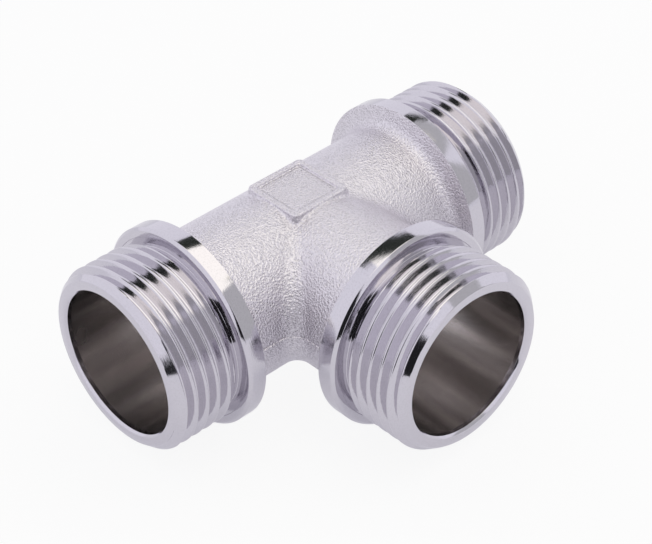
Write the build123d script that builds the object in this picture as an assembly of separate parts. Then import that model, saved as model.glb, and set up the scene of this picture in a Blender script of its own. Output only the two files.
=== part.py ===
"""Equal tee with three male G1 pipe threads, forged and turned in one piece.

The run lies along X and the branch points to -Y. All three axes meet at the origin and +Z is up.
Each end is made upright: height 0 is its end face, and heights grow inwards to the middle of the tee.
"""

import math
import os

from build123d import *

# Overall size: from the middle to each end face
face_reach = 41.0

# Parallel pipe thread, right hand, with flanks at 27.5 degrees to the radius
thread_major_d = 33.249
thread_pitch = 2.309
thread_flank_angle = 27.5
thread_depth_per_pitch = 0.640327
thread_flat_per_pitch = 1 / 6
thread_run_in_per_pitch = 0.6

# Turn of each end about its own axis, in degrees, which places the thread's start
run_left_clock = -45.0
run_right_clock = 23.5
branch_clock = 100.5

# Metal between the thread's root and the bore, then the two chamfers at the end face
thread_wall = 2.0
bore_chamfer = 0.4
lead_chamfer_clearance = 0.07
lead_chamfer_length = 1.7

# Collar that stops the mating part, with the relief groove in front of it
collar_rise = 1.7
collar_seat_height = 13.35
collar_width = 3.3
collar_bevel = 0.25
seat_step_depth = 0.12
relief_clearance = 0.06

# Wall of the body tube, and the forged shoulder between it and the collar
tube_wall = 1.35
shoulder_draft = 12.0
shoulder_fillet = 2.2
shoulder_margin = 1.0

# Fillet in the valleys between run and branch, as a share of the tube's radius
valley_fillet_ratio = 0.24
valley_cover_angle = 84.0

# Ridge where the forging flash was trimmed
flash_height = 0.15
flash_width = 0.35

# Marking pad on the crown, with a raised border
pad_side = 12.2
pad_rise = 0.37
pad_draft = 10.0
pad_root_depth = 4.0
pad_corner_radius = 0.9
pad_border = 1.15
pad_recess_depth = 0.35
pad_edge_chamfer = 0.15

# Values that follow from the sizes above
major_r = thread_major_d / 2
root_r = major_r - thread_depth_per_pitch * thread_pitch
flank_slope = math.tan(math.radians(thread_flank_angle))
root_half_width = thread_flat_per_pitch * thread_pitch / 2
groove_half_width = root_half_width + (major_r - root_r) * flank_slope
relief_half_width = groove_half_width + relief_clearance
relief_r = root_r - relief_clearance
lead_chamfer_r = root_r - lead_chamfer_clearance
bore_r = root_r - thread_wall
collar_r = major_r + collar_rise
tube_r = bore_r + tube_wall
valley_fillet = valley_fillet_ratio * tube_r
pad_top = tube_r + pad_rise


def section(points):
    """A face with straight edges in the XZ plane, from pairs of radius and height."""
    return Face(Wire(Polyline(*[(r, 0, h) for r, h in points], close=True).edges()))


def shoulder_fillet_points():
    """Start, middle and end of the arc from the collar's drafted back to the tube."""
    draft = math.radians(shoulder_draft)
    centre_r = tube_r + shoulder_fillet
    back_height = collar_seat_height + collar_width + (collar_r - centre_r) * math.tan(draft)
    centre_h = back_height + shoulder_fillet / math.cos(draft)
    angles = (draft, (draft + math.pi / 2) / 2, math.pi / 2)
    return [
        (centre_r - shoulder_fillet * math.sin(a), centre_h - shoulder_fillet * math.cos(a))
        for a in angles
    ]


def blank_height():
    """Where the turned and forged end meets the plain body tube."""
    return shoulder_fillet_points()[-1][1] + shoulder_margin


def thread_travel():
    """Axial way of the groove's middle, from its start in front of the face into the relief."""
    return thread_run_in_per_pitch * thread_pitch + collar_seat_height - relief_half_width


def end_blank():
    """One end before threading: chamfer, thread land, relief, collar and shoulder, without bore.

    It is turned so that its seam lies away from where the thread runs out.
    """
    seam_turn = 360 * thread_travel() / thread_pitch + 159
    start, middle, end = shoulder_fillet_points()
    relief_front = collar_seat_height - 2 * relief_half_width
    relief_wall = (major_r - relief_r) * flank_slope
    seat_step_r = major_r + relief_clearance
    front = [
        (0, blank_height()),
        (0, 0),
        (lead_chamfer_r, 0),
        (major_r, lead_chamfer_length),
        (major_r, relief_front),
        (relief_r, relief_front + relief_wall),
        (relief_r, collar_seat_height + seat_step_depth),
        (seat_step_r, collar_seat_height + seat_step_depth),
        (seat_step_r, collar_seat_height),
        (collar_r - collar_bevel, collar_seat_height),
        (collar_r, collar_seat_height + collar_bevel),
        (collar_r, collar_seat_height + collar_width),
        start,
    ]
    straight = Polyline(*[(r, 0, h) for r, h in front])
    arc = ThreePointArc(*[(r, 0, h) for r, h in (start, middle, end)])
    close = Polyline((end[0], 0, end[1]), (tube_r, 0, blank_height()), (0, 0, blank_height()))
    edges = [*straight.edges(), *arc.edges(), *close.edges()]
    return Rot(0, 0, seam_turn) * revolve(Face(Wire(edges)), Axis.Z)


def thread_groove():
    """The helical groove as a solid, from in front of the end face into the relief groove."""
    outer_r = major_r + relief_clearance
    outer_half_width = root_half_width + (outer_r - root_r) * flank_slope
    profile = section(
        [
            (root_r, -root_half_width),
            (root_r, root_half_width),
            (outer_r, outer_half_width),
            (outer_r, -outer_half_width),
        ]
    )
    path = Wire([Helix(thread_pitch, thread_travel(), root_r)])
    start = -thread_run_in_per_pitch * thread_pitch
    return Pos(0, 0, start) * sweep(profile, path=path, is_frenet=True)


def threaded_end():
    """One finished end, still without its bore."""
    return end_blank() - thread_groove()


def placed(end, outward, sideways, clock):
    """An end set on its axis, with its face outwards at the reach, turned by its clock angle."""
    seat = Plane(origin=outward * face_reach, x_dir=sideways, z_dir=-outward)
    return seat * Rot(0, 0, clock) * end


def body_tube():
    """The plain forged tubes of run and branch, up to the backs of the three collars."""
    reach = face_reach - collar_seat_height - collar_width
    run = Rot(0, 90, 0) * Cylinder(tube_r, 2 * reach)
    branch = Pos(0, -reach / 2, 0) * Rot(90, 0, 0) * Cylinder(tube_r, reach)
    return run + branch


def arc_controls(radius, angle):
    """Control points and weights of a circular arc, from 0 up to an angle in degrees."""
    a = math.radians(angle)
    return [
        (radius, 0, 1),
        (radius, radius * math.tan(a / 2), math.cos(a / 2)),
        (radius * math.cos(a), radius * math.sin(a), 1),
    ]


def valley_patch(side):
    """Half of the exact fillet face in the valley at -X and -Y, above or below the middle plane.

    A level cut of the tubes is a square corner whose size follows the tube's circle. The fillet's
    arc grows and shrinks with that corner, so it meets both tubes without a crease all the way up.
    """
    far = 1 + valley_fillet_ratio
    plan_arc = [(-far, -1, 1), (-1, -1, math.cos(math.pi / 4)), (-1, -far, 1)]
    upright = arc_controls(tube_r, valley_cover_angle)
    points = [[(c * x, c * y, side * z) for x, y, _ in plan_arc] for c, z, _ in upright]
    weights = [[w * v for _, _, v in plan_arc] for _, _, w in upright]
    return Face.make_bezier_surface(points, weights)


def edges_along(patches, slope):
    """The patches' edges that lie in the upright plane through the Z axis with this X over Y."""
    found = []
    for edge in [e for patch in patches for e in patch.edges()]:
        spots = [edge.position_at(t) for t in (0.1, 0.5)]
        if all(abs(p.X - slope * p.Y) < 1e-6 * tube_r for p in spots):
            found.append(edge)
    return found


def valley_fill():
    """The solid behind the fillet at -X and -Y: a wedge from the Z axis out to the two patches."""
    patches = [valley_patch(1), valley_patch(-1)]
    height = tube_r * math.sin(math.radians(valley_cover_angle))
    top, bottom = Vector(0, 0, height), Vector(0, 0, -height)
    axis = Edge.make_line(bottom, top)
    faces = list(patches)
    for slope in (1 + valley_fillet_ratio, 1 / (1 + valley_fillet_ratio)):
        curves = edges_along(patches, slope)
        ends = [e.position_at(t) for e in curves for t in (0, 1)]
        high = Edge.make_line(max(ends, key=lambda p: p.Z), top)
        low = Edge.make_line(bottom, min(ends, key=lambda p: p.Z))
        faces.append(Face(Wire([*curves, high, axis, low])))
    for patch, tip in zip(patches, (top, bottom)):
        rim = max(patch.edges(), key=lambda e: abs(e.position_at(0.5).Z))
        sides = [Edge.make_line(rim.position_at(1), tip), Edge.make_line(tip, rim.position_at(0))]
        faces.append(Face(Wire([rim, *sides])))
    return Solid(Shell(faces))


def flash_ridge():
    """The thin trimmed flash line round the body at the height of the axes, up to the collars."""
    half = tube_r + flash_height
    reach = face_reach - collar_seat_height - collar_width
    plan = Rectangle(2 * reach, 2 * half) + Pos(0, -reach / 2) * Rectangle(2 * half, reach)
    corners = [v for v in plan.vertices() if abs(abs(v.X) - half) < 1e-6 and abs(v.Y + half) < 1e-6]
    plan = fillet(corners, valley_fillet - flash_height)
    return extrude(plan, amount=flash_width / 2, both=True)


def marking_pad():
    """The drafted square boss on the crown, with its upper edge broken."""
    top = Plane.XY.offset(pad_top) * RectangleRounded(pad_side, pad_side, pad_corner_radius)
    boss = extrude(top, amount=-pad_root_depth, taper=-pad_draft)
    rim = boss.faces().sort_by(Axis.Z)[-1].edges()
    return chamfer(rim, pad_edge_chamfer)


def pad_recess():
    """What is sunk inside the pad's border, a bare field."""
    side = pad_side - 2 * pad_border
    field = RectangleRounded(side, side, pad_corner_radius / 2)
    floor = Plane.XY.offset(pad_top - pad_recess_depth) * field
    return extrude(floor, amount=2 * pad_recess_depth)


def bore(length):
    """A bore from an end face inwards, with the chamfer at its mouth, made upright."""
    mouth_r = bore_r + bore_chamfer
    points = [(0, 0), (mouth_r, 0), (bore_r, bore_chamfer), (bore_r, length), (0, length)]
    return revolve(section(points), Axis.Z)


def tee():
    """The whole tee in one piece."""
    end = threaded_end()
    left, right, out = Vector(-1, 0, 0), Vector(1, 0, 0), Vector(0, -1, 0)
    body = body_tube()
    fill = valley_fill()
    body = body + fill
    body = body + mirror(fill, Plane.YZ)
    body = body + flash_ridge()
    body = body + marking_pad()
    body = body + placed(end, left, Vector(0, 1, 0), run_left_clock)
    body = body + placed(end, right, Vector(0, 1, 0), run_right_clock)
    body = body + placed(end, out, Vector(1, 0, 0), branch_clock)
    body = body - pad_recess()
    body = body - placed(bore(2 * face_reach - bore_chamfer), left, Vector(0, -1, 0), 0)
    body = body - placed(bore(bore_chamfer * 2), right, Vector(0, -1, 0), 0)
    body = body - placed(bore(face_reach), out, Vector(1, 0, 0), 0)
    return body


os.makedirs("parts", exist_ok=True)
export_step(tee(), "parts/tee_body.step")
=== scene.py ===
"""The threaded pipe tee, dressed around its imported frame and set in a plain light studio.

The tee is one closed mesh: three turned ends with real helical threads, the forged body between
them, and the crossing bores. A second mesh is the square pad on the crown. Every length is in
metres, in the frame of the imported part.
"""

import math

import bmesh
import bpy
from mathutils import Matrix, Vector


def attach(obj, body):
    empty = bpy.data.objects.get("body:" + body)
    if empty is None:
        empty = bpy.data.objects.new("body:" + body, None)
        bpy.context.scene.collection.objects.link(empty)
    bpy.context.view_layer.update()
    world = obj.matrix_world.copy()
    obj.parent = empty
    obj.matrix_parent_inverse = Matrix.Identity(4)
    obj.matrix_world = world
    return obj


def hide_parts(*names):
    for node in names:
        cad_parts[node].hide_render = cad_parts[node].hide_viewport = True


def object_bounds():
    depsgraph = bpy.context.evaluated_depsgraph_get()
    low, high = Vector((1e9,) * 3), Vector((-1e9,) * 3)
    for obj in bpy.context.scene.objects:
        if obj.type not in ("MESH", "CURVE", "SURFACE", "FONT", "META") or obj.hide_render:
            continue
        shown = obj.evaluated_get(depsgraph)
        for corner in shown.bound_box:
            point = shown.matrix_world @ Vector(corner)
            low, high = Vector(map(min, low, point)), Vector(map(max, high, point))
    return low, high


bl_info = {
    "name": "Threaded pipe tee",
    "version": (1, 0, 0),
    "blender": (4, 5, 0),
    "location": "View3D > Sidebar > Pipe Tee",
    "description": "Builds a nickel-plated tee with three threaded ends, and a studio for it",
    "category": "Add Mesh",
}

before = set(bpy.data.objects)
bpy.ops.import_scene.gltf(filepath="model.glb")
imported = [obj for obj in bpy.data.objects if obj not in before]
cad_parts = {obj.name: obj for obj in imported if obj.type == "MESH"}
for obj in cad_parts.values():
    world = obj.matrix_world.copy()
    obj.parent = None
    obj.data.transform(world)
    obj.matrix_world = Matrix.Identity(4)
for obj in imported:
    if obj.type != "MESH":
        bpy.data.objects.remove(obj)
CAD_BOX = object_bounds()
NODE = "tee_body"
REACH = CAD_BOX[1].x
COLLAR_RADIUS = CAD_BOX[1].z

# Points round each end, and columns of a thread's grid across one pitch
STEPS = 128
THREAD_ROWS = 24

# Lengths under the first count as nothing, and points nearer than the next two become one point
EPS = 1e-7
WELD = 1.5e-6
THREAD_WELD = 2e-6

# How near to its place an open loop of the body is looked for
LOOP_NEAR = 1e-5

# Numbers of the materials on the tee's mesh, in the order of tee_materials
BRIGHT = 0
SATIN = 1
BORE = 2

# A rounded corner takes at most this share of each side; then its segments and the shoulder's
CORNER_SHARE = 0.45
CORNER_STEPS = 3
SHOULDER_STEPS = 10

# The collar's back edge, where the forging starts: how far it is drawn in, and its rounding
BACK_EDGE_IN = 0.00012
BACK_EDGE_DOWN = 0.00006
BACK_EDGE_ROUND = 0.0001

# The trimmed flash line: half of its flat width, the width of its foot, and its rows in degrees
FLASH_HALF_WIDTH = 0.00012
FLASH_FOOT = 0.0001
FLASH_LEVELS = (0.45, 0.7, 0.9, 1.2, 1.9)

# Width of the strip that joins an end's loop to the body tube's
STRIP_WIDTH = 0.0004

# The bores cross in an edge with hardly any fillet, given as a share of their radius
BORE_CORNER = 0.012

# Rings of the pad's bare field and of its underside, as shares of their full size
FIELD_RINGS = (0.25, 0.5, 0.75, 0.93)
UNDER_RINGS = (1.0, 0.5, 0.2)

# The wall round the pad's field: its lean, the flat kept on both sides, its rounding and corners
FIELD_LEAN = 0.00003
FIELD_MARGIN = 0.0004
FIELD_ROUND = 0.00018
FIELD_CORNER = 0.6

# The pad's outer edge: two rings inside it, its rounding, and the most that takes of the wall
BORDER_MARGIN = 0.0003
BORDER_LAND = 0.0002
BORDER_ROUND = 0.00022
BORDER_SHARE = 0.4

# The pad's foot: its blend, the most that takes of the wall, and the skirt sunk into the tube
FOOT_BLEND = 0.0006
FOOT_SHARE = 0.55
SKIRT_WIDTH = 0.0002
SKIRT_SINK = 0.0001

# How far over the bore the pad's underside lies, as a share of the tube's wall
UNDER_SHARE = 0.45

# Edges sharper than this are shaded as edges
TEE_SHARP_ANGLE = math.radians(38)
PAD_SHARP_ANGLE = math.radians(50)


def length(name, text, value, low=0.0, high=0.2):
    """A length property in metres."""
    return bpy.props.FloatProperty(
        name=name, description=text, default=value, min=low, max=high,
        subtype="DISTANCE", unit="LENGTH", precision=5,
    )


def angle(name, text, degrees):
    """An angle property, given in degrees."""
    return bpy.props.FloatProperty(
        name=name, description=text, default=math.radians(degrees), subtype="ANGLE", unit="ROTATION"
    )


def share(name, text, value, low=0.0, high=1.0):
    """A share of another size."""
    return bpy.props.FloatProperty(
        name=name, description=text, default=value, min=low, max=high, subtype="FACTOR"
    )


def colour(name, text, value):
    """A linear colour property."""
    return bpy.props.FloatVectorProperty(
        name=name, description=text, default=value, subtype="COLOR", size=3, min=0.0, max=1.0
    )


class TeeSizes(bpy.types.PropertyGroup):
    """Sizes of the tee."""

    pitch: length("Pitch", "Axial distance from one thread crest to the next", 0.002309)
    major_radius: length("Major radius", "Radius over the thread's crests", 0.0166245)
    thread_depth: length("Thread depth", "From crest to root", 0.0014785)
    flank_angle: angle("Flank angle", "Between a flank and the plane across the axis", 27.5)
    crest_round: length("Crest rounding", "How far the crest's corners are blended", 0.00022)
    root_round: length("Root rounding", "How far the root's corners are blended", 0.00025)
    run_in: length("Run-in", "How far in front of the face the groove starts", 0.0013854)
    left_clock: angle("Left clock", "Turn of the left end, which places its thread", -45.0)
    right_clock: angle("Right clock", "Turn of the right end, which places its thread", 23.5)
    branch_clock: angle("Branch clock", "Turn of the branch end, which places its thread", 100.5)
    lead_clearance: length("Lead clearance", "Chamfer's start under the thread's root", 0.00007)
    lead_length: length("Lead chamfer length", "Axial length of the lead chamfer", 0.0017)
    relief_wall: angle("Relief wall", "Slope of the relief's front wall", 45)
    relief_clearance: length("Relief clearance", "How far the relief clears the groove", 0.00006)
    thread_wall: length("Thread wall", "Metal between the thread's root and the bore", 0.002)
    bore_chamfer: length("Bore chamfer", "Chamfer at the bore's mouth", 0.0004)
    seat_height: length("Seat height", "From the end face to the collar's seat", 0.01335)
    seat_step: length("Seat step", "Depth of the turned step inside the seat", 0.00012)
    collar_width: length("Collar width", "Axial width of the collar's band", 0.0033)
    collar_bevel: length("Collar bevel", "Bevel at the collar's front edge", 0.0005)
    tube_wall: length("Tube wall", "Wall of the forged body tube", 0.00135)
    shoulder_draft: angle("Shoulder draft", "Slope of the collar's forged back", 12.0)
    shoulder_fillet: length("Shoulder fillet", "Radius between collar back and tube", 0.0022)
    valley_ratio: share("Valley fillet", "Valley fillet as a share of the tube's radius", 0.24)
    flash_height: length("Flash height", "Height of the trimmed flash line", 0.00015)
    edge_break: length("Edge break", "Rounding of the turned edges", 0.00006)
    pad_side: length("Pad side", "Side of the square pad", 0.0122)
    pad_rise: length("Pad rise", "Height of the pad's border over the tube's crown", 0.00037)
    pad_draft: angle("Pad draft", "Slope of the pad's walls", 10.0)
    pad_corner: length("Pad corner", "Corner radius of the pad", 0.0009)
    pad_border: length("Pad border", "Width of the pad's raised border", 0.00115)
    pad_recess: length("Pad recess", "Depth of the field inside the border", 0.00035)

    @property
    def root_radius(self):
        return self.major_radius - self.thread_depth

    @property
    def bore_radius(self):
        return self.root_radius - self.thread_wall

    @property
    def tube_radius(self):
        return self.bore_radius + self.tube_wall

    @property
    def lead_radius(self):
        return self.root_radius - self.lead_clearance

    @property
    def relief_radius(self):
        return self.root_radius - self.relief_clearance

    @property
    def root_half_width(self):
        """Half of the root's flat, which is a sixth of the pitch."""
        return self.pitch / 12

    @property
    def relief_half_width(self):
        """Half of the relief groove's mouth, a little more than half of the thread groove's."""
        rise = self.thread_depth * math.tan(self.flank_angle)
        return self.root_half_width + rise + self.relief_clearance

    @property
    def thread_first(self):
        """Height of the thread's loop next to the end face."""
        return self.edge_break

    @property
    def thread_last(self):
        """Height of the thread's loop in the relief groove."""
        return self.seat_height + self.seat_step - self.edge_break

    @property
    def bore_start(self):
        """Height where the plain bore takes over from the turned mouth."""
        return 3 * self.bore_chamfer


class TeeFinish(bpy.types.PropertyGroup):
    """Colours of the tee and its studio."""

    nickel: colour("Nickel", "Colour of the bright turned nickel", (0.63, 0.61, 0.655))
    satin: colour("Satin nickel", "Colour of the blasted and plated forging", (0.685, 0.66, 0.70))
    bore: colour("Bore", "Colour of the thinly plated bore", (0.70, 0.665, 0.65))
    lamp: colour("Lamp", "Colour of the soft lamp", (1.0, 0.95, 0.62))
    floor: colour("Floor", "Colour of the floor", (0.93, 0.93, 0.94))


# The three ends: outward direction and the direction that the clock angle is counted from
ENDS = {
    "left": (Vector((-1, 0, 0)), Vector((0, 1, 0))),
    "right": (Vector((1, 0, 0)), Vector((0, 1, 0))),
    "branch": (Vector((0, -1, 0)), Vector((1, 0, 0))),
}


def end_matrix(end):
    """From an end's own axes, with its height inwards from the end face, to the part's frame."""
    outward, sideways = ENDS[end]
    inward = -outward
    axes = Matrix((sideways, inward.cross(sideways), inward)).transposed()
    return Matrix.Translation(outward * REACH) @ axes.to_4x4()


def add_socket(tree, name, kind, value=None, way="INPUT"):
    """A socket of a node group; its kind is the end of its type's name, such as Float."""
    socket = tree.interface.new_socket(name, in_out=way, socket_type="NodeSocket" + kind)
    if value is not None:
        socket.default_value = value
    return socket


def math_node(tree, operation, *inputs):
    """A Math node in either kind of tree; its inputs are sockets or numbers."""
    node = tree.nodes.new("ShaderNodeMath")
    node.operation = operation
    for socket, value in zip(node.inputs, inputs):
        if isinstance(value, (int, float)):
            socket.default_value = value
        else:
            tree.links.new(value, socket)
    return node.outputs[0]


# Inputs of the thread's node tree, with the values that it shows on its own
THREAD_INPUTS = {
    "Pitch": 0.002309,
    "Major Radius": 0.0166,
    "Root Radius": 0.0151,
    "Flank Slope": 0.52,
    "Root Half Width": 0.0002,
    "Crest Rounding": 0.0001,
    "Root Rounding": 0.0001,
    "Start": 0.0,
    "First": 0.0,
    "Last": 0.0133,
    "Lead Radius": 0.015,
    "Lead Slope": 0.9,
    "Relief Front": 0.0112,
    "Relief Slope": 0.16,
    "Relief Radius": 0.015,
}
THREAD_COUNTS = {"Turns": 8, "Steps per Turn": STEPS, "Rows per Pitch": THREAD_ROWS}


def thread_tree():
    """Geometry Nodes that turn a grid into a helical thread, cut by its chamfer and its relief.

    One row of the grid follows the helix, and its columns cross one pitch from root to root.
    """
    tree = bpy.data.node_groups.new("Helical Thread", "GeometryNodeTree")
    add_socket(tree, "Geometry", "Geometry")
    for name, value in THREAD_INPUTS.items():
        socket = add_socket(tree, name, "Float", value)
        socket.subtype = "NONE" if "Slope" in name else "DISTANCE"
    for name, value in THREAD_COUNTS.items():
        add_socket(tree, name, "Int", value)
    add_socket(tree, "Material", "Material")
    add_socket(tree, "Geometry", "Geometry", way="OUTPUT")
    new = tree.nodes.new
    link = tree.links.new
    given = new("NodeGroupInput").outputs

    def calc(operation, *inputs):
        return math_node(tree, operation, *inputs)

    grid = new("GeometryNodeMeshGrid")
    grid.inputs["Size X"].default_value = 1.0
    grid.inputs["Size Y"].default_value = 1.0
    long_count = calc("MULTIPLY", given["Turns"], given["Steps per Turn"])
    link(calc("ADD", long_count, 1.0), grid.inputs["Vertices X"])
    link(calc("ADD", given["Rows per Pitch"], 1.0), grid.inputs["Vertices Y"])

    place = new("ShaderNodeSeparateXYZ")
    link(new("GeometryNodeInputPosition").outputs[0], place.inputs[0])
    along = calc("MULTIPLY", calc("ADD", place.outputs[0], 0.5), given["Turns"])
    across = calc("MULTIPLY", calc("ADD", place.outputs[1], 0.5), given["Pitch"])
    turn = calc("MULTIPLY", along, 2 * math.pi)
    height = calc("MULTIPLY", along, given["Pitch"])
    height = calc("ADD", calc("ADD", height, across), given["Start"])
    height = calc("MAXIMUM", height, given["First"])
    height = calc("MINIMUM", height, given["Last"])

    from_root = calc("PINGPONG", across, calc("MULTIPLY", given["Pitch"], 0.5))
    rise = calc("SUBTRACT", from_root, given["Root Half Width"])
    radius = calc("ADD", calc("DIVIDE", rise, given["Flank Slope"]), given["Root Radius"])
    radius = calc("SMOOTH_MAX", radius, given["Root Radius"], given["Root Rounding"])
    radius = calc("SMOOTH_MIN", radius, given["Major Radius"], given["Crest Rounding"])
    lead = calc("MULTIPLY_ADD", height, given["Lead Slope"], given["Lead Radius"])
    radius = calc("MINIMUM", radius, lead)
    past = calc("SUBTRACT", height, given["Relief Front"])
    wall = calc("SUBTRACT", given["Major Radius"], calc("DIVIDE", past, given["Relief Slope"]))
    wall = calc("MAXIMUM", wall, given["Relief Radius"])
    radius = calc("MINIMUM", radius, wall)

    point = new("ShaderNodeCombineXYZ")
    link(calc("MULTIPLY", radius, calc("COSINE", turn)), point.inputs[0])
    link(calc("MULTIPLY", radius, calc("SINE", turn)), point.inputs[1])
    link(height, point.inputs[2])
    moved = new("GeometryNodeSetPosition")
    link(grid.outputs["Mesh"], moved.inputs["Geometry"])
    link(point.outputs[0], moved.inputs["Position"])
    merged = new("GeometryNodeMergeByDistance")
    merged.inputs["Distance"].default_value = THREAD_WELD
    link(moved.outputs[0], merged.inputs["Geometry"])
    real = new("GeometryNodeRealizeInstances")
    link(merged.outputs[0], real.inputs[0])
    finish = new("GeometryNodeSetMaterial")
    link(real.outputs[0], finish.inputs["Geometry"])
    link(given["Material"], finish.inputs["Material"])
    link(finish.outputs[0], new("NodeGroupOutput").inputs[0])
    return tree


def thread_mesh(sizes, clock, material):
    """One end's thread as a plain mesh in the end's own axes, from the node tree."""
    tree = bpy.data.node_groups.get("Helical Thread") or thread_tree()
    first, last = sizes.thread_first, sizes.thread_last
    start = -sizes.run_in - sizes.pitch * clock / (2 * math.pi)
    start -= math.ceil((start - first) / sizes.pitch + 1) * sizes.pitch
    values = {
        "Pitch": sizes.pitch,
        "Major Radius": sizes.major_radius,
        "Root Radius": sizes.root_radius,
        "Flank Slope": math.tan(sizes.flank_angle),
        "Root Half Width": sizes.root_half_width,
        "Crest Rounding": sizes.crest_round,
        "Root Rounding": sizes.root_round,
        "Start": start,
        "First": first,
        "Last": last,
        "Lead Radius": sizes.lead_radius,
        "Lead Slope": (sizes.major_radius - sizes.lead_radius) / sizes.lead_length,
        "Relief Front": sizes.seat_height - 2 * sizes.relief_half_width,
        "Relief Slope": math.tan(sizes.relief_wall),
        "Relief Radius": sizes.relief_radius,
        "Turns": math.ceil((last - start) / sizes.pitch) + 1,
        "Steps per Turn": STEPS,
        "Rows per Pitch": THREAD_ROWS,
        "Material": material,
    }
    carrier = bpy.data.objects.new("thread_carrier", bpy.data.meshes.new("thread_carrier"))
    bpy.context.scene.collection.objects.link(carrier)
    modifier = carrier.modifiers.new("Thread", "NODES")
    modifier.node_group = tree
    for item in tree.interface.items_tree:
        if item.in_out == "INPUT" and item.name in values:
            modifier[item.identifier] = values[item.name]
    carrier.update_tag()
    graph = bpy.context.evaluated_depsgraph_get()
    baked = bpy.data.meshes.new_from_object(carrier.evaluated_get(graph), depsgraph=graph)
    bpy.data.objects.remove(carrier)
    return baked


class Shell:
    """Collects rings and grids of points as quads, with a material number each."""

    def __init__(self):
        self.mesh = bmesh.new()

    def points(self, rows):
        """Vertices at rows of places."""
        return [[self.mesh.verts.new(p) for p in row] for row in rows]

    def face(self, corners, slot):
        """A smooth face, left out where fewer than three of its corners differ."""
        unique = list(dict.fromkeys(corners))
        if len(unique) > 2:
            made = self.mesh.faces.new(unique)
            made.material_index = slot
            made.smooth = True

    def quads(self, rows, slot, closed=False):
        """Quads between neighbouring rows of vertices."""
        for low, high in zip(rows, rows[1:]):
            count = len(low)
            for i in range(count if closed else count - 1):
                j = (i + 1) % count
                self.face((low[i], low[j], high[j], high[i]), slot)

    def rings(self, profile, matrix, slot, start=None, end=None):
        """A turned surface from pairs of radius and height, joined to given rings of vertices."""
        turns = [2 * math.pi * i / STEPS for i in range(STEPS)]
        places = [
            [matrix @ Vector((r * math.cos(a), r * math.sin(a), h)) for a in turns]
            for r, h in profile
        ]
        rows = self.points(places)
        if start:
            rows.insert(0, start)
        if end:
            rows.append(end)
        self.quads(rows, slot, closed=True)
        return rows

    def open_loop(self, outward, reach):
        """Vertices of open edges that lie at this distance from the middle, towards one end."""
        return {
            v for e in self.mesh.edges if e.is_boundary for v in e.verts
            if abs(v.co.dot(outward) - reach) < LOOP_NEAR
        }

    def finished(self, name, materials, sharp_angle):
        """The collected faces as a plain mesh, with their normals outwards."""
        bmesh.ops.recalc_face_normals(self.mesh, faces=self.mesh.faces)
        mesh = bpy.data.meshes.new(name)
        self.mesh.to_mesh(mesh)
        self.mesh.free()
        for material in materials:
            mesh.materials.append(material)
        mesh.set_sharp_from_angle(angle=sharp_angle)
        return mesh


def curved(start, corner, end, steps):
    """Points of a smooth curve from start to end that leans towards the corner."""
    points = []
    for i in range(steps + 1):
        t = i / steps
        points.append((1 - t) ** 2 * start + 2 * t * (1 - t) * corner + t**2 * end)
    return points


def rounded(points, radius):
    """A profile whose inner corners are replaced by small arcs of about this radius."""
    out = [points[0]]
    for before, corner, after in zip(points, points[1:], points[2:]):
        b, c, a = (Vector(p) for p in (before, corner, after))
        reach = min(radius, CORNER_SHARE * (b - c).length, CORNER_SHARE * (a - c).length)
        start = c + (b - c).normalized() * reach
        end = c + (a - c).normalized() * reach
        out.extend(tuple(p) for p in curved(start, c, end, CORNER_STEPS))
    out.append(points[-1])
    return out


def shoulder_points(sizes):
    """The fillet from the collar's drafted back to the tube, as pairs of radius and height."""
    draft, fillet = sizes.shoulder_draft, sizes.shoulder_fillet
    centre_r = sizes.tube_radius + fillet
    back = sizes.seat_height + sizes.collar_width
    back += (COLLAR_RADIUS - centre_r) * math.tan(draft)
    centre_h = back + fillet / math.cos(draft)
    arc = []
    for i in range(SHOULDER_STEPS + 1):
        a = draft + (math.pi / 2 - draft) * i / SHOULDER_STEPS
        arc.append((centre_r - fillet * math.sin(a), centre_h - fillet * math.cos(a)))
    return arc


def tube_start(sizes):
    """How far from the middle the plain body tube begins."""
    return REACH - shoulder_points(sizes)[-1][1]


def ring_of(verts, height):
    """The vertices of an end's loop at this height, sorted by their turn."""
    loop = [v for v in verts if abs(v.co.z - height) < THREAD_WELD]
    return sorted(loop, key=lambda v: round(math.atan2(v.co.y, v.co.x) % (2 * math.pi) * STEPS))


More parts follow.
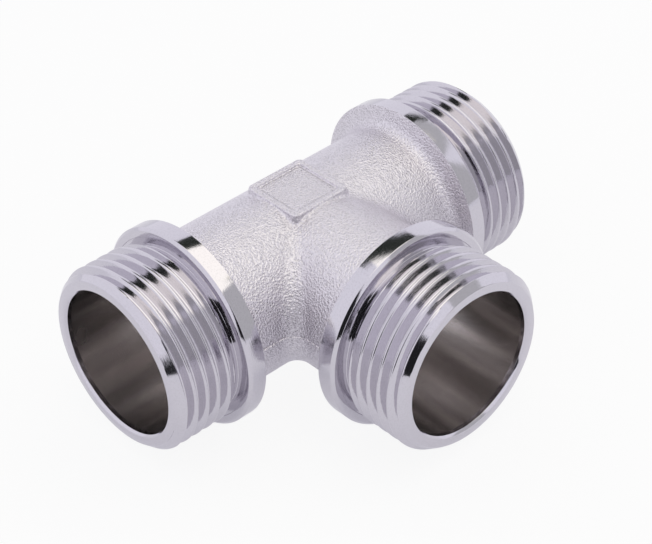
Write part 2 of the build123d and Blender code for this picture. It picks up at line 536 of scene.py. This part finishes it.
def add_end(shell, sizes, end, thread):
    """One turned end: thread, face, bore mouth, relief, collar and shoulder."""
    matrix = end_matrix(end)
    before = set(shell.mesh.verts)
    shell.mesh.from_mesh(thread)
    verts = [v for v in shell.mesh.verts if v not in before]
    for face in {f for v in verts for f in v.link_faces}:
        face.material_index = BRIGHT
        face.smooth = True
    open_verts = {v for v in verts if any(e.is_boundary for e in v.link_edges)}
    front = ring_of(open_verts, sizes.thread_first)
    rear = ring_of(open_verts, sizes.thread_last)
    if len(front) != STEPS or len(rear) != STEPS:
        raise RuntimeError(f"{end}: the thread's loops have {len(front)} and {len(rear)} points")
    bmesh.ops.transform(shell.mesh, matrix=matrix, verts=verts)

    edge = sizes.edge_break
    face_profile = rounded(
        [
            (sizes.bore_radius, sizes.bore_start),
            (sizes.bore_radius, sizes.bore_chamfer),
            (sizes.bore_radius + sizes.bore_chamfer, 0),
            (sizes.lead_radius - edge, 0),
        ],
        edge,
    )
    shell.rings(face_profile, matrix, BRIGHT, end=front)

    seat_r = sizes.major_radius + sizes.relief_clearance
    floor = sizes.seat_height + sizes.seat_step
    back = sizes.seat_height + sizes.collar_width
    turned = rounded(
        [
            (sizes.relief_radius + edge, floor),
            (seat_r, floor),
            (seat_r, sizes.seat_height),
            (COLLAR_RADIUS - sizes.collar_bevel, sizes.seat_height),
            (COLLAR_RADIUS, sizes.seat_height + sizes.collar_bevel),
            (COLLAR_RADIUS, back),
        ],
        edge,
    )
    rows = shell.rings(turned, matrix, BRIGHT, start=rear)

    arc = shoulder_points(sizes)
    back_edge = (COLLAR_RADIUS - BACK_EDGE_IN, back + BACK_EDGE_DOWN)
    forged = rounded([(COLLAR_RADIUS, back), back_edge, arc[0]], BACK_EDGE_ROUND)
    shell.rings(forged[1:] + arc[1:], matrix, SATIN, start=rows[-1])


def contour(radius, ratio, level, reach, straight, bend):
    """The quarter of a level cut in the valley at -X and -Y, from the run's end to the branch's end.

    Gives places and outward directions in the plane.
    """
    w = radius * math.cos(level)
    far = (1 + ratio) * w
    places, normals = [], []
    for i in range(straight):
        places.append((-reach + (reach - far) * i / straight, -w))
        normals.append((0, -1))
    for i in range(bend + 1):
        a = math.pi / 2 * (1 - i / bend)
        places.append((-far + ratio * w * math.cos(a), -far + ratio * w * math.sin(a)))
        normals.append((-math.cos(a), -math.sin(a)))
    for i in range(1, straight + 1):
        places.append((-w, -far - (reach - far) * i / straight))
        normals.append((-1, 0))
    return places, normals


def crossing(shell, radius, ratio, reach, levels, slot, straight, bend, flash=0.0):
    """The surface of two crossing tubes, run along X and branch along -Y, in three panels.

    Straight and bend are the segments of a valley's straight parts and of its arc.
    """
    left, right, back = [], [], []
    for level in levels:
        z = radius * math.sin(level)
        lift = flash_lift(flash, radius, level)
        places, normals = contour(radius, ratio, level, reach, straight, bend)
        lifts = [lift] * len(places)
        lifts[0] = lifts[-1] = 0.0
        row = [(x + nx * k, y + ny * k, z) for (x, y), (nx, ny), k in zip(places, normals, lifts)]
        left.append(row)
        right.append([(-x, y, z) for x, y, z in row])
        w = radius * math.cos(level)
        spots = [-reach + reach * i / straight for i in range(2 * straight + 1)]
        back.append([(x, w + (lift if abs(x) < reach - EPS else 0.0), z) for x in spots])
    for rows in (left, right, back):
        shell.quads(shell.points(rows), slot)


def flash_lift(height, radius, level):
    """How far the trimmed flash line stands off a tube of this radius, at a level angle."""
    off = abs(radius * math.sin(level))
    if off < FLASH_HALF_WIDTH:
        return height
    return height * max(0.0, 1 - (off - FLASH_HALF_WIDTH) / FLASH_FOOT) ** 2


def zip_rings(shell, rough, fine, axis, slot):
    """Triangles between two loops of different counts, sorted by their turn round an axis."""
    side = axis.orthogonal().normalized()
    up = axis.cross(side)

    def turn(v):
        return math.atan2(v.co.dot(up), v.co.dot(side)) % (2 * math.pi)

    a = sorted(rough, key=turn)
    b = sorted(fine, key=turn)
    a_turns = [turn(v) for v in a] + [turn(a[0]) + 2 * math.pi]
    b_turns = [turn(v) for v in b] + [turn(b[0]) + 2 * math.pi]
    i = j = 0
    while i < len(a) or j < len(b):
        if j == len(b) or (i < len(a) and a_turns[i + 1] <= b_turns[j + 1]):
            shell.face((a[i % len(a)], a[(i + 1) % len(a)], b[j % len(b)]), slot)
            i += 1
        else:
            shell.face((a[i % len(a)], b[(j + 1) % len(b)], b[j % len(b)]), slot)
            j += 1


def tee_mesh(sizes, materials):
    """The whole tee as one closed mesh."""
    shell = Shell()
    clocks = {"left": sizes.left_clock, "right": sizes.right_clock, "branch": sizes.branch_clock}
    for end in ENDS:
        thread = thread_mesh(sizes, clocks[end], materials[BRIGHT])
        add_end(shell, sizes, end, thread)
        bpy.data.meshes.remove(thread)

    even = [math.radians(-90 + 360 / STEPS * i) for i in range(STEPS // 2 + 1)]
    near = [math.radians(side * level) for level in FLASH_LEVELS for side in (-1, 1)]
    tube_reach = tube_start(sizes) - STRIP_WIDTH
    crossing(
        shell, sizes.tube_radius, sizes.valley_ratio, tube_reach, sorted(even + near), SATIN,
        straight=18, bend=14, flash=sizes.flash_height,
    )
    bore_reach = REACH - sizes.bore_start
    crossing(shell, sizes.bore_radius, BORE_CORNER, bore_reach, even, BORE, straight=22, bend=3)
    bmesh.ops.remove_doubles(shell.mesh, verts=shell.mesh.verts, dist=WELD)
    bmesh.ops.dissolve_degenerate(shell.mesh, edges=shell.mesh.edges, dist=EPS)
    for outward, _ in ENDS.values():
        fine = shell.open_loop(outward, tube_reach)
        rough = shell.open_loop(outward, tube_start(sizes))
        zip_rings(shell, rough, fine, outward, SATIN)
    return shell.finished("threaded_tee", materials, TEE_SHARP_ANGLE)


def terrain(x, y, radius):
    """Height of the body's top over a place, with the run along X and the branch along -Y."""
    run = math.sqrt(max(radius**2 - y**2, 0))
    branch = math.sqrt(max(radius**2 - x**2, 0)) if y < 0 else 0.0
    return max(run, branch)


def square_outline(half, corner, corner_steps=8, side_steps=12):
    """Places and outward directions round a square with rounded corners.

    A small square gets smaller corners, so that each side keeps a straight part.
    """
    corner = min(corner, half * 0.9)
    inner = half - corner
    places = []
    for quarter in range(4):
        centre = Vector((inner, inner))
        turn = Matrix.Rotation(math.pi / 2 * quarter, 2)
        for i in range(corner_steps + 1):
            a = math.pi / 2 * i / corner_steps
            out = Vector((math.cos(a), math.sin(a)))
            places.append((turn @ (centre + out * corner), turn @ out))
        for i in range(1, side_steps):
            x = inner - 2 * inner * i / side_steps
            places.append((turn @ Vector((x, half)), turn @ Vector((0, 1))))
    return places


def level_ring(half, corner, height):
    """Places of a level ring of the pad."""
    return [(p.x, p.y, height) for p, _ in square_outline(half, corner)]


def pad_column(sizes, place, out, top):
    """Places from the border's outer edge down its drafted wall to the foot on the tube."""
    slope = math.tan(sizes.pad_draft)

    def ground(distance):
        spot = place + out * distance
        return terrain(spot.x, spot.y, sizes.tube_radius)

    # The wall leans out over lower ground, so its depth is found in a few passes
    depth = top - ground(0)
    for _ in range(3):
        depth = top - ground(depth * slope)
    edge = min(BORDER_ROUND, BORDER_SHARE * depth)
    column = curved(
        Vector((-BORDER_LAND, top)), Vector((0, top)), Vector((edge * slope, top - edge)), steps=4
    )
    joint = Vector((depth * slope, top - depth))
    up_the_wall = Vector((-slope, 1)).normalized()
    high = joint + up_the_wall * min(FOOT_BLEND, FOOT_SHARE * depth)
    away = depth * slope + FOOT_BLEND
    column += curved(high, joint, Vector((away, ground(away))), steps=5)
    away += SKIRT_WIDTH
    column.append(Vector((away, ground(away) - SKIRT_SINK)))
    return [(*(place + out * q.x), q.y) for q in column]


def pad_rows(sizes):
    """Rings of the pad from the middle of its field over its border and foot to its underside."""
    half = sizes.pad_side / 2
    corner = sizes.pad_corner
    top = sizes.tube_radius + sizes.pad_rise
    field = half - sizes.pad_border
    low = top - sizes.pad_recess
    rows = [level_ring(field * size, corner, low) for size in FIELD_RINGS]
    field_wall = rounded(
        [
            (field - FIELD_MARGIN, low),
            (field - FIELD_LEAN, low),
            (field + FIELD_LEAN, top),
            (field + FIELD_MARGIN, top),
        ],
        FIELD_ROUND,
    )
    for size, height in field_wall:
        rows.append(level_ring(size, corner * FIELD_CORNER, height))
    rows.append(level_ring(half - BORDER_MARGIN, corner, top))
    columns = [pad_column(sizes, place, out, top) for place, out in square_outline(half, corner)]
    rows.extend(list(ring) for ring in zip(*columns))
    under = sizes.bore_radius + UNDER_SHARE * sizes.tube_wall
    for size in UNDER_RINGS:
        outline = square_outline(half * size, corner * size)
        rows.append([(p.x, p.y, terrain(p.x, p.y, under)) for p, _ in outline])
    return rows


def pad_mesh(sizes, material):
    """The square pad as one closed mesh, with its foot blended into the tube."""
    shell = Shell()
    rows = shell.points(pad_rows(sizes))
    shell.quads(rows, 0, closed=True)
    shell.face(rows[0], 0)
    shell.face(rows[-1], 0)
    bmesh.ops.remove_doubles(shell.mesh, verts=shell.mesh.verts, dist=EPS)
    return shell.finished("marking_pad", [material], PAD_SHARP_ANGLE)


# Shares of the pits and of the fine noise in the grain's height
GRAIN_PITS = 0.7
GRAIN_NOISE = 0.6

# Spacing of the tool's lines, how often they change round the axis, and the grain kept under them
LINE_SPACING = 0.00012
LINE_WANDER = 9.0
GRAIN_UNDER_LINES = 0.35

# How often the painted streaks of reflected light in a bore change along it, per metre, and round it
PAINTED_STREAKS_PER_METRE = 30.0
PAINTED_STREAKS_ROUND = 3.0

# How far from its middle the noise reaches the darkest and the lightest tone: of the grain, with its
# painted pit shade and sparkle, and of the bore's painted streaks of reflected light
GRAIN_AND_SPARKLE_REACH = 0.2
PAINTED_STREAK_REACH = 0.1


def new_material(name):
    """An empty node material, with its output."""
    material = bpy.data.materials.new(name)
    material.use_nodes = True
    material.node_tree.nodes.clear()
    return material, material.node_tree, material.node_tree.nodes.new("ShaderNodeOutputMaterial")


def new_group(name, inputs, outputs):
    """An empty shader node group: a vector and numbers come in, numbers go out."""
    group = bpy.data.node_groups.new(name, "ShaderNodeTree")
    add_socket(group, "Vector", "Vector")
    for label, value in inputs.items():
        add_socket(group, label, "Float", value)
    for label in outputs:
        add_socket(group, label, "Float", way="OUTPUT")
    given = group.nodes.new("NodeGroupInput").outputs
    out = group.nodes.new("NodeGroupOutput").inputs
    return group, given, out


def grain_group():
    """Grain of a blasted or turned metal surface: the height of its pits and a slow stain."""
    name = "Metal Grain"
    if name in bpy.data.node_groups:
        return bpy.data.node_groups[name]
    sizes = {"Grain Size": 0.0003, "Stain Size": 0.008}
    group, given, out = new_group(name, sizes, ("Height", "Stain"))
    link = group.links.new
    fine = group.nodes.new("ShaderNodeTexNoise")
    fine.inputs["Detail"].default_value = 2.0
    fine.inputs["Roughness"].default_value = 0.6
    cells = group.nodes.new("ShaderNodeTexVoronoi")
    slow = group.nodes.new("ShaderNodeTexNoise")
    slow.inputs["Detail"].default_value = 3.0
    for node, size in ((fine, "Grain Size"), (cells, "Grain Size"), (slow, "Stain Size")):
        link(given["Vector"], node.inputs["Vector"])
        link(math_node(group, "DIVIDE", 1.0, given[size]), node.inputs["Scale"])
    pits = math_node(group, "MULTIPLY", cells.outputs["Distance"], GRAIN_PITS)
    link(math_node(group, "MULTIPLY_ADD", fine.outputs["Fac"], GRAIN_NOISE, pits), out["Height"])
    link(slow.outputs["Fac"], out["Stain"])
    return group


def tool_lines_and_sheen_group():
    """Fine lines that a turning tool leaves round an axis, and soft streaks of painted reflection
    along a bore.
    """
    name = "Tool Marks"
    if name in bpy.data.node_groups:
        return bpy.data.node_groups[name]
    group, given, out = new_group(name, {"Line Spacing": LINE_SPACING}, ("Height", "Streaks"))
    link = group.links.new

    def calc(operation, *inputs):
        return math_node(group, operation, *inputs)

    split = group.nodes.new("ShaderNodeSeparateXYZ")
    link(given["Vector"], split.inputs[0])
    x, y, z = split.outputs
    on_branch = calc("GREATER_THAN", calc("MULTIPLY", y, -1.0), calc("ABSOLUTE", x))
    on_run = calc("SUBTRACT", 1.0, on_branch)

    def chosen(for_run, for_branch):
        """The first value on the run, and the second on the branch."""
        one = calc("MULTIPLY", for_run, on_run)
        return calc("ADD", one, calc("MULTIPLY", for_branch, on_branch))

    along = chosen(x, y)
    side = chosen(y, x)
    radius = calc("SQRT", calc("MULTIPLY_ADD", side, side, calc("MULTIPLY", z, z)))
    cosine = calc("DIVIDE", side, radius)
    sine = calc("DIVIDE", z, radius)
    scale = calc("DIVIDE", 1.0, given["Line Spacing"])

    def noise(detail, place, w):
        """A 4D noise, which closes round the axis without a seam."""
        spot = group.nodes.new("ShaderNodeCombineXYZ")
        for socket, value in zip(spot.inputs, place):
            link(value, socket)
        node = group.nodes.new("ShaderNodeTexNoise")
        node.noise_dimensions = "4D"
        node.inputs["Scale"].default_value = 1.0
        node.inputs["Detail"].default_value = detail
        link(spot.outputs[0], node.inputs["Vector"])
        link(w, node.inputs["W"])
        return node.outputs["Fac"]

    rings = (
        calc("MULTIPLY", along, scale),
        calc("MULTIPLY", radius, scale),
        calc("MULTIPLY", cosine, LINE_WANDER),
    )
    link(noise(3.0, rings, calc("MULTIPLY", sine, LINE_WANDER)), out["Height"])
    lengthwise = (
        calc("MULTIPLY", along, PAINTED_STREAKS_PER_METRE),
        calc("MULTIPLY", cosine, PAINTED_STREAKS_ROUND),
        on_run,
    )
    link(noise(1.0, lengthwise, calc("MULTIPLY", sine, PAINTED_STREAKS_ROUND)), out["Streaks"])
    return group


def metal(
    name, base, roughness, rough_spread, grain_size, bump_distance, bump_strength, grain_and_sheen_contrast, marks_and_sheen=""
):
    """A plated metal with grain in its normal and its roughness; in its colour, the grain's own tone
    with painted shade in its pits and painted sparkle.

    Marks that are "turned" add lines to the normal; the other kind paints streaks of reflected light
    along the bore into the colour, in place of the grain.
    """
    material, tree, output = new_material(name)
    link = tree.links.new
    shader = tree.nodes.new("ShaderNodeBsdfPrincipled")
    shader.inputs["Metallic"].default_value = 1.0
    place = tree.nodes.new("ShaderNodeTexCoord")
    grain = tree.nodes.new("ShaderNodeGroup")
    grain.node_tree = grain_group()
    grain.inputs["Grain Size"].default_value = grain_size
    link(place.outputs["Object"], grain.inputs["Vector"])
    least = roughness - rough_spread
    rough = math_node(tree, "MULTIPLY_ADD", grain.outputs["Stain"], 2 * rough_spread, least)
    link(rough, shader.inputs["Roughness"])
    # The grain's height spreads the colour too: partly its own tone, partly painted shade in the pits
    # and painted sparkle
    height = shade = grain.outputs["Height"]
    reach = GRAIN_AND_SPARKLE_REACH
    if marks_and_sheen:
        lines = tree.nodes.new("ShaderNodeGroup")
        lines.node_tree = tool_lines_and_sheen_group()
        lines.inputs["Line Spacing"].default_value = LINE_SPACING
        link(place.outputs["Object"], lines.inputs["Vector"])
    if marks_and_sheen == "turned":
        height = math_node(tree, "MULTIPLY_ADD", height, GRAIN_UNDER_LINES, lines.outputs["Height"])
    # The bore's streaks are a painted reflection of light along it, laid into the colour in place of
    # the grain
    if marks_and_sheen == "painted_streaks":
        shade = lines.outputs["Streaks"]
        reach = PAINTED_STREAK_REACH
    spread = tree.nodes.new("ShaderNodeMapRange")
    spread.inputs["From Min"].default_value = 0.5 - reach
    spread.inputs["From Max"].default_value = 0.5 + reach
    link(shade, spread.inputs["Value"])
    tint = tree.nodes.new("ShaderNodeMix")
    tint.data_type = "RGBA"
    tint.inputs["A"].default_value = (*[c * (1 - grain_and_sheen_contrast) for c in base], 1)
    tint.inputs["B"].default_value = (*[min(1, c * (1 + grain_and_sheen_contrast)) for c in base], 1)
    link(spread.outputs["Result"], tint.inputs["Factor"])
    link(tint.outputs["Result"], shader.inputs["Base Color"])
    bump = tree.nodes.new("ShaderNodeBump")
    bump.inputs["Distance"].default_value = bump_distance
    bump.inputs["Strength"].default_value = bump_strength
    link(height, bump.inputs["Height"])
    link(bump.outputs["Normal"], shader.inputs["Normal"])
    link(shader.outputs[0], output.inputs["Surface"])
    return material


def tee_materials(finish):
    """Bright turned nickel, blasted satin nickel and the thinly plated bore, in that order."""
    # The bright and satin colours take the grain's own tone, with painted shade in its pits and
    # painted sparkle
    bright = metal(
        "bright_nickel", finish.nickel, roughness=0.085, rough_spread=0.03, grain_size=0.0003,
        bump_distance=0.000012, bump_strength=0.5, grain_and_sheen_contrast=0.04, marks_and_sheen="turned",
    )
    satin = metal(
        "satin_nickel", finish.satin, roughness=0.38, rough_spread=0.06, grain_size=0.00036,
        bump_distance=0.00023, bump_strength=0.85, grain_and_sheen_contrast=0.14,
    )
    # The bore's colour carries painted streaks of reflected light along it
    bore = metal(
        "bore_nickel", finish.bore, roughness=0.25, rough_spread=0.05, grain_size=0.0003,
        bump_distance=0.00009, bump_strength=0.5, grain_and_sheen_contrast=0.27, marks_and_sheen="painted_streaks",
    )
    return bright, satin, bore


def place_piece(name, mesh):
    """An object for a finished mesh, riding on the part's one body and replacing its node."""
    piece = bpy.data.objects.new(name, mesh)
    bpy.context.scene.collection.objects.link(piece)
    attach(piece, "root")
    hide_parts(NODE)


# The camera: its angles in degrees, its lengths in metres, its focal length in pixels
CAMERA = {
    "azimuth": -42.02,
    "elevation": 38.0,
    "roll": -1.74,
    "distance": 0.350,
    "across": -0.00448,
    "down": -0.00269,
    "focal": 2012.0,
}

# Width of the picture in pixels, and of the camera's sensor in millimetres
FRAME_WIDTH = 652
SENSOR_WIDTH = 36.0

# Plain white for the camera, and the faintly cool white that metal mirrors
SEEN_WHITE = (1, 1, 1, 1)
MIRRORED_WHITE = (0.94, 0.93, 1.0, 1)

# The light from all round that the matt surfaces get
FILL_LIGHT = (0.93, 0.93, 1.0, 1)
FILL_STRENGTH = 0.75

# Half of the floor's side
FLOOR_REACH = 4.0

# Corners of the dark card behind the lamp, on X and Y
BACK_CARD = ((-0.115, 0.236), (-0.115, 0.30), (0.30, 0.30), (0.42, 0.34), (0.42, 0.16), (0.342, 0.099))

# Shades of the cards, and segments of a curved card's sides
BACK_SHADE = (0.03, 0.035, 0.03)
FRONT_SHADE = (0.018, 0.018, 0.02)
GREY_SHADE = (0.57, 0.57, 0.585)
CARD_STEPS = 8


def make_camera():
    """The camera at the photograph's angle."""
    az, el, roll = (math.radians(CAMERA[k]) for k in ("azimuth", "elevation", "roll"))
    back = Vector((math.sin(az) * math.cos(el), -math.cos(az) * math.cos(el), math.sin(el)))
    right = Vector((math.cos(az), math.sin(az), 0))
    up = back.cross(right)
    right, up = (
        math.cos(roll) * right + math.sin(roll) * up,
        -math.sin(roll) * right + math.cos(roll) * up,
    )
    place = -(right * CAMERA["across"] - up * CAMERA["down"]) + back * CAMERA["distance"]
    data = bpy.data.cameras.new("studio_camera")
    data.sensor_width = SENSOR_WIDTH
    data.lens = CAMERA["focal"] * SENSOR_WIDTH / FRAME_WIDTH
    data.clip_start = 0.01
    data.clip_end = 50.0
    camera = bpy.data.objects.new("studio_camera", data)
    axes = Matrix((right, up, back)).transposed()
    camera.matrix_world = Matrix.Translation(place) @ axes.to_4x4()
    bpy.context.scene.collection.objects.link(camera)
    bpy.context.scene.camera = camera


def shown_as_background(tree, seen, mirrored):
    """How much of the plain white shows to the camera, and how much to glossy and clear rays."""
    rays = tree.nodes.new("ShaderNodeLightPath").outputs
    clear = math_node(tree, "MAXIMUM", rays["Is Glossy Ray"], rays["Is Transmission Ray"])
    direct = math_node(tree, "MULTIPLY", rays["Is Camera Ray"], seen)
    return math_node(tree, "MULTIPLY_ADD", clear, mirrored, direct)


def background_tone(tree):
    """Plain white for the camera, and a faintly cool white for what metal mirrors."""
    path = tree.nodes.new("ShaderNodeLightPath")
    tone = tree.nodes.new("ShaderNodeMix")
    tone.data_type = "RGBA"
    tone.inputs["A"].default_value = MIRRORED_WHITE
    tone.inputs["B"].default_value = SEEN_WHITE
    tree.links.new(path.outputs["Is Camera Ray"], tone.inputs["Factor"])
    return tone.outputs["Result"]


def make_world():
    """A white background, and a plain pale light from all round for the matt surfaces."""
    world = bpy.data.worlds.new("studio_world")
    bpy.context.scene.world = world
    world.use_nodes = True
    tree = world.node_tree
    tree.nodes.clear()
    light = tree.nodes.new("ShaderNodeBackground")
    light.inputs["Color"].default_value = FILL_LIGHT
    light.inputs["Strength"].default_value = FILL_STRENGTH
    white = tree.nodes.new("ShaderNodeBackground")
    tree.links.new(background_tone(tree), white.inputs["Color"])
    mix = tree.nodes.new("ShaderNodeMixShader")
    tree.links.new(shown_as_background(tree, seen=1.0, mirrored=1.0), mix.inputs[0])
    tree.links.new(light.outputs[0], mix.inputs[1])
    tree.links.new(white.outputs[0], mix.inputs[2])
    out = tree.nodes.new("ShaderNodeOutputWorld")
    tree.links.new(mix.outputs[0], out.inputs["Surface"])


def make_floor(shade):
    """A pale floor that shows as white and keeps a soft shadow."""
    mesh = bpy.data.meshes.new("studio_floor")
    corners = [(x * FLOOR_REACH, y * FLOOR_REACH) for x, y in ((-1, -1), (1, -1), (1, 1), (-1, 1))]
    mesh.from_pydata([(x, y, CAD_BOX[0].z) for x, y in corners], [], [(0, 1, 2, 3)])
    floor = bpy.data.objects.new("studio_floor", mesh)
    bpy.context.scene.collection.objects.link(floor)
    material, tree, output = new_material("floor_white")
    matt = tree.nodes.new("ShaderNodeBsdfDiffuse")
    matt.inputs["Color"].default_value = (*shade, 1)
    glow = tree.nodes.new("ShaderNodeEmission")
    tree.links.new(background_tone(tree), glow.inputs["Color"])
    mix = tree.nodes.new("ShaderNodeMixShader")
    tree.links.new(shown_as_background(tree, seen=0.9, mirrored=0.5), mix.inputs[0])
    tree.links.new(matt.outputs[0], mix.inputs[1])
    tree.links.new(glow.outputs[0], mix.inputs[2])
    tree.links.new(mix.outputs[0], output.inputs["Surface"])
    mesh.materials.append(material)


def direction(azimuth, elevation):
    """A unit vector; azimuth is counted from +X towards +Y, in degrees."""
    a, e = math.radians(azimuth), math.radians(elevation)
    return Vector((math.cos(a) * math.cos(e), math.sin(a) * math.cos(e), math.sin(e)))


def lamp(name, place, target, width, height, radiance, shade, spin):
    """A soft rectangular lamp; radiance is how bright its face looks, spin turns it in degrees."""
    data = bpy.data.lights.new(name, "AREA")
    data.shape = "RECTANGLE"
    data.size = width
    data.size_y = height
    data.energy = radiance * math.pi * width * height
    data.color = shade
    obj = bpy.data.objects.new(name, data)
    aim = (Vector(place) - Vector(target)).to_track_quat("Z", "Y").to_matrix()
    turn = Matrix.Rotation(math.radians(spin), 3, "Z")
    obj.matrix_world = Matrix.Translation(place) @ (turn @ aim).to_4x4()
    obj.visible_camera = False
    bpy.context.scene.collection.objects.link(obj)


def card(name, azimuths, elevations, distance, shade):
    """A curved card of the studio, between azimuths and elevations seen from the part."""
    verts, faces = [], []
    for i in range(CARD_STEPS + 1):
        for j in range(CARD_STEPS + 1):
            a = azimuths[0] + (azimuths[1] - azimuths[0]) * i / CARD_STEPS
            e = elevations[0] + (elevations[1] - elevations[0]) * j / CARD_STEPS
            verts.append(direction(a, e) * distance)
    for i in range(CARD_STEPS):
        for j in range(CARD_STEPS):
            k = i * (CARD_STEPS + 1) + j
            faces.append((k, k + 1, k + CARD_STEPS + 2, k + CARD_STEPS + 1))
    mesh = bpy.data.meshes.new(name)
    mesh.from_pydata(verts, [], faces)
    finish_card(name, mesh, shade)


def flat_card(name, outline, height, shade):
    """A level card over the part, from the places of its corners on X and Y."""
    mesh = bpy.data.meshes.new(name)
    mesh.from_pydata([(x, y, height) for x, y in outline], [], [range(len(outline))])
    finish_card(name, mesh, shade)


def finish_card(name, mesh, shade):
    """A card's material and object; the card shows in reflections and casts no shadow."""
    material, tree, output = new_material(name)
    glow = tree.nodes.new("ShaderNodeEmission")
    glow.inputs["Color"].default_value = (*shade, 1)
    tree.links.new(glow.outputs[0], output.inputs["Surface"])
    mesh.materials.append(material)
    obj = bpy.data.objects.new(name, mesh)
    obj.visible_camera = False
    obj.visible_shadow = False
    obj.visible_diffuse = False
    bpy.context.scene.collection.objects.link(obj)


class TEE_OT_body(bpy.types.Operator):
    """Build the tee itself, forged and turned in one piece"""

    bl_idname = "pipe_tee.body"
    bl_label = "Threaded Tee"

    def execute(self, context):
        materials = tee_materials(context.scene.tee_finish)
        mesh = tee_mesh(context.scene.tee_sizes, materials)
        place_piece("threaded_tee", mesh)
        return {"FINISHED"}


class TEE_OT_pad(bpy.types.Operator):
    """Build the square marking pad on the crown"""

    bl_idname = "pipe_tee.pad"
    bl_label = "Marking Pad"

    def execute(self, context):
        mesh = pad_mesh(context.scene.tee_sizes, bpy.data.materials["satin_nickel"])
        place_piece("marking_pad", mesh)
        return {"FINISHED"}


class TEE_OT_studio(bpy.types.Operator):
    """Build the floor, the lamp, the cards and the camera"""

    bl_idname = "pipe_tee.studio"
    bl_label = "Studio"

    def execute(self, context):
        finish = context.scene.tee_finish
        make_world()
        make_floor(finish.floor)
        lamp(
            "top_lamp", place=(0.074, -0.096, 0.40), target=(0.074, -0.096, 0), width=0.40,
            height=0.528, radiance=0.55, shade=finish.lamp, spin=-16,
        )
        flat_card("back_card", BACK_CARD, height=0.40, shade=BACK_SHADE)
        card("front_card", azimuths=(211, 245), elevations=(-8, 44), distance=0.25, shade=FRONT_SHADE)
        card("right_card", azimuths=(-78, -38), elevations=(0, 50), distance=0.5, shade=GREY_SHADE)
        card("upper_card", azimuths=(-46, 28), elevations=(44, 55), distance=0.5, shade=GREY_SHADE)
        make_camera()
        return {"FINISHED"}


class TEE_PT_panel(bpy.types.Panel):
    """Lists the pieces and their sizes"""

    bl_label = "Pipe Tee"
    bl_idname = "TEE_PT_panel"
    bl_space_type = "VIEW_3D"
    bl_region_type = "UI"
    bl_category = "Pipe Tee"

    def draw(self, context):
        for operator in (TEE_OT_body, TEE_OT_pad, TEE_OT_studio):
            self.layout.operator(operator.bl_idname)
        for group in (context.scene.tee_sizes, context.scene.tee_finish):
            box = self.layout.box()
            for name in group.__annotations__:
                box.prop(group, name)


CLASSES = (TeeSizes, TeeFinish, TEE_OT_body, TEE_OT_pad, TEE_OT_studio, TEE_PT_panel)


def register():
    for cls in CLASSES:
        bpy.utils.register_class(cls)
    bpy.types.Scene.tee_sizes = bpy.props.PointerProperty(type=TeeSizes)
    bpy.types.Scene.tee_finish = bpy.props.PointerProperty(type=TeeFinish)


def unregister():
    del bpy.types.Scene.tee_finish
    del bpy.types.Scene.tee_sizes
    for cls in reversed(CLASSES):
        bpy.utils.unregister_class(cls)


def main():
    """Builds every piece in order."""
    register()
    bpy.context.scene.view_settings.view_transform = "Standard"
    bpy.ops.pipe_tee.body()
    bpy.ops.pipe_tee.pad()
    bpy.ops.pipe_tee.studio()


if __name__ == "__main__":
    main()
